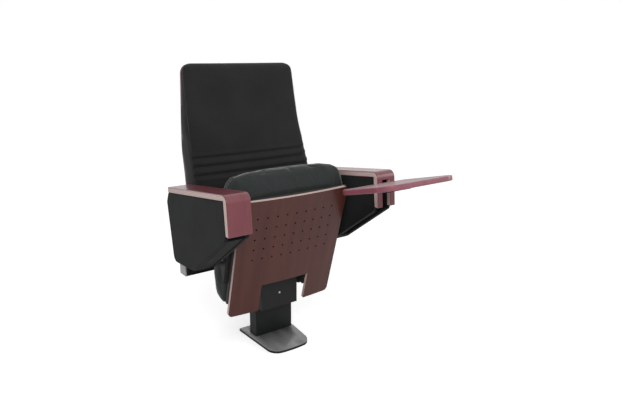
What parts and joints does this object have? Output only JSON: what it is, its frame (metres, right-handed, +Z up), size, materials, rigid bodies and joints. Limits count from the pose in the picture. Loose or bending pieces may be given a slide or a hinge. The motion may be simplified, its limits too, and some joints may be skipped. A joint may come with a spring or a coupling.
{
  "type": "tip-up auditorium seat",
  "caption": "Upholstered tip-up auditorium seat on a central floor-bolted foot, with boxed arms and a writing tablet on one arm.",
  "frame": {"origin": "on the floor at the centre of the four floor bolts", "axes": "+Z up, -Y towards the front of the seat, +X towards the arm with the tablet (the sitter's left)"},
  "size_m": [0.644, 0.7941, 0.9789],
  "materials": {
    "black_steel": "satin powder coat",
    "black_cover": "fine grained",
    "zinc_steel": "zinc plated",
    "grey_plastic": "matt",
    "white_nylon": "smooth",
    "mahogany_ply": "red-brown stain and lacquer over pale plywood edges",
    "plain_ply": "bare plywood",
    "arm_cloth": "cloth stretched over boards",
    "seat_cloth": "short-pile cloth over foam"
  },
  "bodies": {
    "frame": {"foot_plate": "black_steel", "foot_cover": "black_cover", "column": "black_steel", "saddle_tube": "black_steel", "head_cover": "black_cover", "cover_screw": "zinc_steel", "cross_beam": "black_steel", "beam_end_left": "grey_plastic", "beam_end_right": "grey_plastic", "arm_cap_left": "mahogany_ply", "arm_cap_right": "mahogany_ply", "arm_inner_left": "arm_cloth", "arm_inner_right": "arm_cloth", "arm_outer_left": "arm_cloth", "arm_outer_right": "arm_cloth", "arm_frame_left": "black_steel", "arm_frame_right": "black_steel", "arm_base_left": "arm_cloth", "arm_base_right": "arm_cloth", "pivot_pin_left": "zinc_steel", "pivot_pin_right": "zinc_steel", "back_shell": "mahogany_ply", "back_board": "plain_ply", "back_cushion": "seat_cloth", "back_bracket_left": "black_steel", "back_bracket_right": "black_steel", "tablet_pin": "zinc_steel"},
    "seat": {"seat_panel": "mahogany_ply", "seat_pan": "plain_ply", "seat_cushion": "seat_cloth", "hinge_plate_left": "black_steel", "hinge_plate_right": "black_steel", "pivot_bush_left": "white_nylon", "pivot_bush_right": "white_nylon", "counterweight": "zinc_steel"},
    "tablet_arm": {"tablet_arm": "zinc_steel", "tablet_hinge_pin": "zinc_steel"},
    "tablet": {"tablet_board": "mahogany_ply", "tablet_leaf": "zinc_steel"}
  },
  "joints": [
    {"name": "seat_tip", "type": "hinge", "parent": "frame", "child": "seat", "pos_m": [0, -0.064, 0.37], "axis": [1, 0, 0], "range_deg": [0, 70], "stiffness_Nm_per_rad": 2.5, "springref_deg": -20.05},
    {"name": "tablet_swing", "type": "hinge", "parent": "frame", "child": "tablet_arm", "pos_m": [0.271, -0.2458, 0.5615], "axis": [1, 0, 0], "range_deg": [0, 40]},
    {"name": "tablet_flip", "type": "hinge", "parent": "tablet_arm", "child": "tablet", "pos_m": [0.277, -0.24333, 0.57119], "axis": [0, 0.969, -0.247], "range_deg": [0, 90]}
  ]
}
